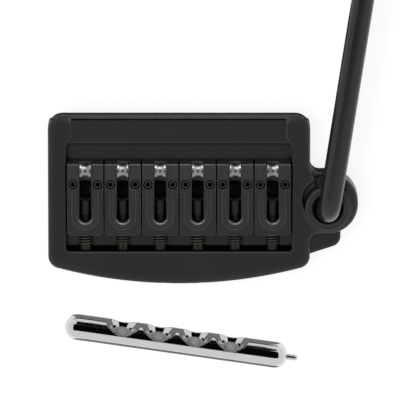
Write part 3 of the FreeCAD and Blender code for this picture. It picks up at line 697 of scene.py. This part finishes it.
# Screws: a turned core with its thread wound on, and a hexagon socket
SCREW_PITCH = 0.5
SCREW_SMOOTH = 25
HEXAGON = 6


def socket_cut(core, radius, bottom, top):
    cut(core, bar("socket", radius, (0, 0, bottom), (0, 0, top + PAST), HEXAGON))


def set_screw(name, radius, length):
    """A headless screw on Z, from 0 to its length, with a cup point below and the socket on top."""
    root, ridge = radius - 0.18, 0.2
    cup_radius, cup_depth = 0.5, 0.35
    point_in, point_high = 0.3, 0.4
    top_in, top_low, thread_low = 0.15, 0.35, 0.1
    socket_radius, socket_floor = 0.5 * radius + 0.1, 0.4 * length
    core = turned(name, [(0, cup_depth), (cup_radius, 0), (root - point_in, 0), (root, point_high),
                         (root, length - top_low), (root - top_in, length), (0, length)], SCREW_SIDES)
    socket_cut(core, socket_radius, socket_floor, length)
    thread = threaded(name + "_thread", radius, ridge, SCREW_PITCH, point_high, length - thread_low)
    return smooth(joined(core, thread), SCREW_SMOOTH)


def intonation_screw():
    """On Z: a plain tip from 0, the thread, a plain neck, the head's seat and the head."""
    radius, head = 1.45, 2.3
    thread_start, thread_end, seat, face = 4.0, 12.0, 16.45, 18.75
    root, ridge = radius - 0.2, 0.22
    tip_bevel, seat_bevel, head_bevel = 0.3, 0.2, 0.25
    socket_radius, socket_depth = 1.1, 1.15
    core = turned("intonation_form", [
        (0, 0), (radius - tip_bevel, 0), (radius, tip_bevel), (radius, thread_start), (root, thread_start),
        (root, thread_end), (radius, thread_end), (radius, seat), (head - head_bevel, seat),
        (head, seat + seat_bevel), (head, face - head_bevel), (head - head_bevel, face), (0, face)],
        SCREW_SIDES)
    socket_cut(core, socket_radius, face - socket_depth, face)
    thread = threaded("intonation_thread", radius, ridge, SCREW_PITCH, thread_start, thread_end)
    return smooth(joined(core, thread), SCREW_SMOOTH)


# Springs: four close turns of round wire at the saddle and a straight lead to the tail wall
WIRE, COIL = 0.22, 1.75
COIL_TURNS, COIL_RISE, COIL_STEPS = 4, 0.76, 32
WIRE_SIDES, WIRE_SMOOTH = 12, 60
LEAD_UNDER = (0, 0, -QUARTER_TURN)


def spring_form(length):
    round_wire = [i * FULL_TURN / WIRE_SIDES for i in range(WIRE_SIDES + 1)]
    ring = [(COIL + WIRE * math.cos(a), 0, WIRE * math.sin(a)) for a in round_wire]
    spring = wound("spring_form", ring, COIL_RISE, COIL_TURNS, COIL_STEPS)
    lead_start = COIL_TURNS * COIL_RISE - WIRE / 2
    lead = bar("spring_lead", WIRE, (COIL, 0, lead_start), (COIL, 0, length - WIRE), WIRE_SIDES)
    return set_in_place(smooth(joined(spring, lead), WIRE_SMOOTH), (0, 0, 0), LEAD_UNDER)


# Rails: a domed rod with a flat foot and four flared screw seats
RAIL_RADIUS, RAIL_HALF, RAIL_AXIS = 3.7, 32.3, 3.2
RAIL_SIDES, DOME_STEPS, RAIL_SMOOTH = 96, 16, 35
RAIL_HOLE = 1.9
SEAT_RADIUS, SEAT_MOUTH, SEAT_FLOOR = 2.6, 5.0, 3.6
RAIL_SEATS = [step * STRING_PITCH for step in (-1.5, -0.5, 0.5, 1.5)]
PIN_BORE, PIN_BORE_DEPTH = 0.86, 4.0


def rail_form():
    shoulder = RAIL_HALF - RAIL_RADIUS
    dome = [(RAIL_RADIUS * math.sin(a), -shoulder - RAIL_RADIUS * math.cos(a))
            for a in (i * QUARTER_TURN / DOME_STEPS for i in range(DOME_STEPS + 1))]
    profile = dome + [(radius, -along) for radius, along in reversed(dome)]
    rail = turned("rail_form", profile, RAIL_SIDES)
    set_in_place(rail, (0, 0, RAIL_AXIS), (0, QUARTER_TURN, 0))
    tools = [block("foot", (-RAIL_HALF, -RAIL_RADIUS, -PAST), (RAIL_HALF, RAIL_RADIUS, 0))]
    top = RAIL_AXIS + RAIL_RADIUS
    past_mouth = SEAT_MOUTH + (SEAT_MOUTH - SEAT_RADIUS) / (top - SEAT_FLOOR) * PAST
    for x in RAIL_SEATS:
        tools.append(bar("seat", SEAT_RADIUS, (x, 0, SEAT_FLOOR), (x, 0, top + PAST), RAIL_SIDES, past_mouth))
        tools.append(bar("hole", RAIL_HOLE, (x, 0, -PAST), (x, 0, top), ROUND_SIDES))
    tools.append(bar("pin_bore", PIN_BORE, (RAIL_HALF - PIN_BORE_DEPTH, 0, RAIL_AXIS),
                     (RAIL_HALF + PAST, 0, RAIL_AXIS), PIN_SIDES))
    cut(rail, *tools)
    return coat(smooth(rail, RAIL_SMOOTH), polished_chrome, seat_grey, in_rail_hole)


def in_rail_hole(spot, normal):
    """The seats' flat floors and the holes below them."""
    off_seat = min(math.hypot(spot.x - x, spot.y) for x in RAIL_SEATS)
    return off_seat < SEAT_RADIUS - 2 * NEAR and NEAR < spot.z < SEAT_FLOOR + NEAR


# The pieces of all six saddles, each modelled once and copied
HEIGHT_SCREW_RADIUS, HEIGHT_SCREW_LENGTH = 1.25, 7.7
TO_TAIL = (QUARTER_TURN, 0, 0)

saddle = saddle_form()
roller = coat(roller_form(), roller_chrome)
screw = coat(intonation_screw(), screw_black)
height_screw = coat(set_screw("height_screw_form", HEIGHT_SCREW_RADIUS, HEIGHT_SCREW_LENGTH), lit_set_screw_grey)
spring_low, spring_high = (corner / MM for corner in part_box("intonation_spring_1"))
spring = coat(spring_form(spring_high.y - spring_low.y), spring_steel)

for n in STRINGS:
    across = middle_of(f"saddle_{n}").x
    stand_in(saddle, f"saddle_{n}", "finished", (across, 0, 0))
    stand_in(roller, f"string_roller_{n}", "turned", (across, 0, 0))
    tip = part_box(f"intonation_screw_{n}")[1].y / MM
    stand_in(screw, f"intonation_screw_{n}", "threaded", (across, tip, INTONATION_Z), TO_TAIL)
    for letter, side in SIDES:
        node = f"height_screw_{n}{letter}"
        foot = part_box(node)[0].z / MM
        stand_in(height_screw, node, "threaded", (across + side * SCREW_ACROSS, SCREW_Y, foot))
    coil = copy_of(spring, f"intonation_spring_{n}_wound")
    set_in_place(coil, (across, spring_high.y - WIRE, INTONATION_Z), TO_TAIL)
    hand_in(coil, replaces=[f"intonation_spring_{n}"])
    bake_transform(coil)

for form in (saddle, roller, screw, height_screw, spring):
    bpy.data.meshes.remove(form.data)


# The fitted rail and the loose one
SPARE_RAIL = (-1.0, -69.4, -32.7)
SPARE_ROLL, SPARE_YAW = math.radians(-65), math.radians(-8.2)
fitted_rail = rail_form()
fitted_rail.name = "pivot_rail_polished"
spare_rail = set_in_place(copy_of(fitted_rail, "spare_rail_polished"), (0, 0, -RAIL_AXIS))
set_in_place(spare_rail, SPARE_RAIL, (SPARE_ROLL, 0, SPARE_YAW))
hand_in(fitted_rail, "rail", ["pivot_rail"])
hand_in(spare_rail, "spare_rail", ["spare_rail"])


# Arm set screw, in the collar's side
ARM_AXIS_X, ARM_AXIS_Y = 41.7, -22.1
TENSION_RADIUS, TENSION_LENGTH = 1.5, 5.0
TENSION_Z, TENSION_OFF_AXIS = 9.6, 4.3
TENSION_ANGLE = math.radians(107)
tension_way = Vector((math.cos(TENSION_ANGLE), math.sin(TENSION_ANGLE), 0))
tension_foot = Vector((ARM_AXIS_X, ARM_AXIS_Y, TENSION_Z)) + tension_way * TENSION_OFF_AXIS
tension_screw = set_screw("arm_set_screw_threaded", TENSION_RADIUS, TENSION_LENGTH)
set_in_place(tension_screw, tension_foot, tension_way.to_track_quat("Z", "Y").to_euler())
hand_in(coat(tension_screw, shaded_tension_black), "arm_set_screw", ["arm_set_screw"])


# Stage: a white floor and world, a lamp near the camera, and cards that only reflections see
WHITE = grey(1.0)
FLOOR_SIDE = 6000
FLOOR_GAP = 0.2
FLOOR_LEVEL = cad_low.z / MM - FLOOR_GAP
FLOOR_PAINT = grey(0.95)
WHITE_TO_CAMERA, WHITE_TO_MIRRORS = 0.85, 0.2
ROOM_LIGHT = 0.2


def stage_tree(owner):
    """The node tree of a new material or world, emptied."""
    owner.use_nodes = True
    owner.node_tree.nodes.clear()
    return owner.node_tree


def sheet(name, middle, width, depth):
    """A flat sheet with a new material of its own name, and the material's empty tree."""
    begin()
    bpy.ops.mesh.primitive_plane_add(size=1.0, location=Vector(middle) * MM)
    bpy.context.object.scale = (width * MM, depth * MM, 1.0)
    made = named(name)
    made.data.materials.append(bpy.data.materials.new(name))
    return made, stage_tree(made.data.materials[0])


def floor():
    """A white floor that keeps a little of the object's shade."""
    ground, tree = sheet("floor", (0, 0, FLOOR_LEVEL), FLOOR_SIDE, FLOOR_SIDE)
    path = place_node(tree, "LightPath").outputs
    to_camera = result_of(tree, "MULTIPLY", path["Is Camera Ray"], WHITE_TO_CAMERA)
    glow = result_of(tree, "MULTIPLY_ADD", path["Is Glossy Ray"], WHITE_TO_MIRRORS, to_camera)
    painted = place_node(tree, "BsdfDiffuse", Color=FLOOR_PAINT).outputs[0]
    white = place_node(tree, "Emission", Color=WHITE, Strength=1.0).outputs[0]
    shaded = place_node(tree, "MixShader", glow, painted, white).outputs[0]
    place_node(tree, "OutputMaterial", Surface=shaded)


def card(name, middle, width, depth, tone, from_below=False):
    """A dark, grey or light card that only reflections see, from both sides or from below alone."""
    made, tree = sheet(name, middle, width, depth)
    face = place_node(tree, "Emission", Color=WHITE, Strength=tone).outputs[0]
    if from_below:
        below = place_node(tree, "NewGeometry").outputs["Backfacing"]
        clear = place_node(tree, "BsdfTransparent").outputs[0]
        face = place_node(tree, "MixShader", below, clear, face).outputs[0]
    place_node(tree, "OutputMaterial", Surface=face)
    made.visible_camera = False
    made.visible_diffuse = False
    made.visible_shadow = False
    made.visible_transmission = False


def lamp(name, place, aim, width, power):
    """A square lamp that reflections don't see."""
    way = Vector(aim) - Vector(place)
    turn = way.to_track_quat("-Z", "Y").to_euler()
    bpy.ops.object.light_add(type="AREA", location=Vector(place) * MM, rotation=turn)
    light = bpy.context.object
    light.name = name
    light.data.shape = "SQUARE"
    light.data.size = width * MM
    light.data.energy = power
    light.visible_glossy = False


def white_world():
    """White to the camera and to reflections, and a dim room to the rest."""
    world = bpy.data.worlds.new("white_room")
    tree = stage_tree(world)
    path = place_node(tree, "LightPath").outputs
    seen = result_of(tree, "MAXIMUM", path["Is Camera Ray"], path["Is Glossy Ray"])
    room = place_node(tree, "Background", Color=WHITE, Strength=ROOM_LIGHT).outputs[0]
    ground = place_node(tree, "Background", Color=WHITE, Strength=1.0).outputs[0]
    chosen = place_node(tree, "MixShader", seen, room, ground).outputs[0]
    place_node(tree, "OutputWorld", Surface=chosen)
    scene.world = world


floor()
card("dark_room", (-25, 65, 600), 1050, 770, tone=0.003)
card("light_before_rollers", (0, 22, 23), 60, 20, tone=9.0, from_below=True)
card("shade_under_bridge", (0, -6, FLOOR_LEVEL + FLOOR_GAP), 100, 70, tone=0.015)
# Painted shade: a grey sheet that reflections see as the floor's shade by the loose rail
card("shade_by_loose_rail", (-1, -72, FLOOR_LEVEL + FLOOR_GAP / 2), 62, 60, tone=0.26)
lamp("key_lamp", (-120, 300, 1950), aim=(0, -20, 0), width=400, power=47)
white_world()
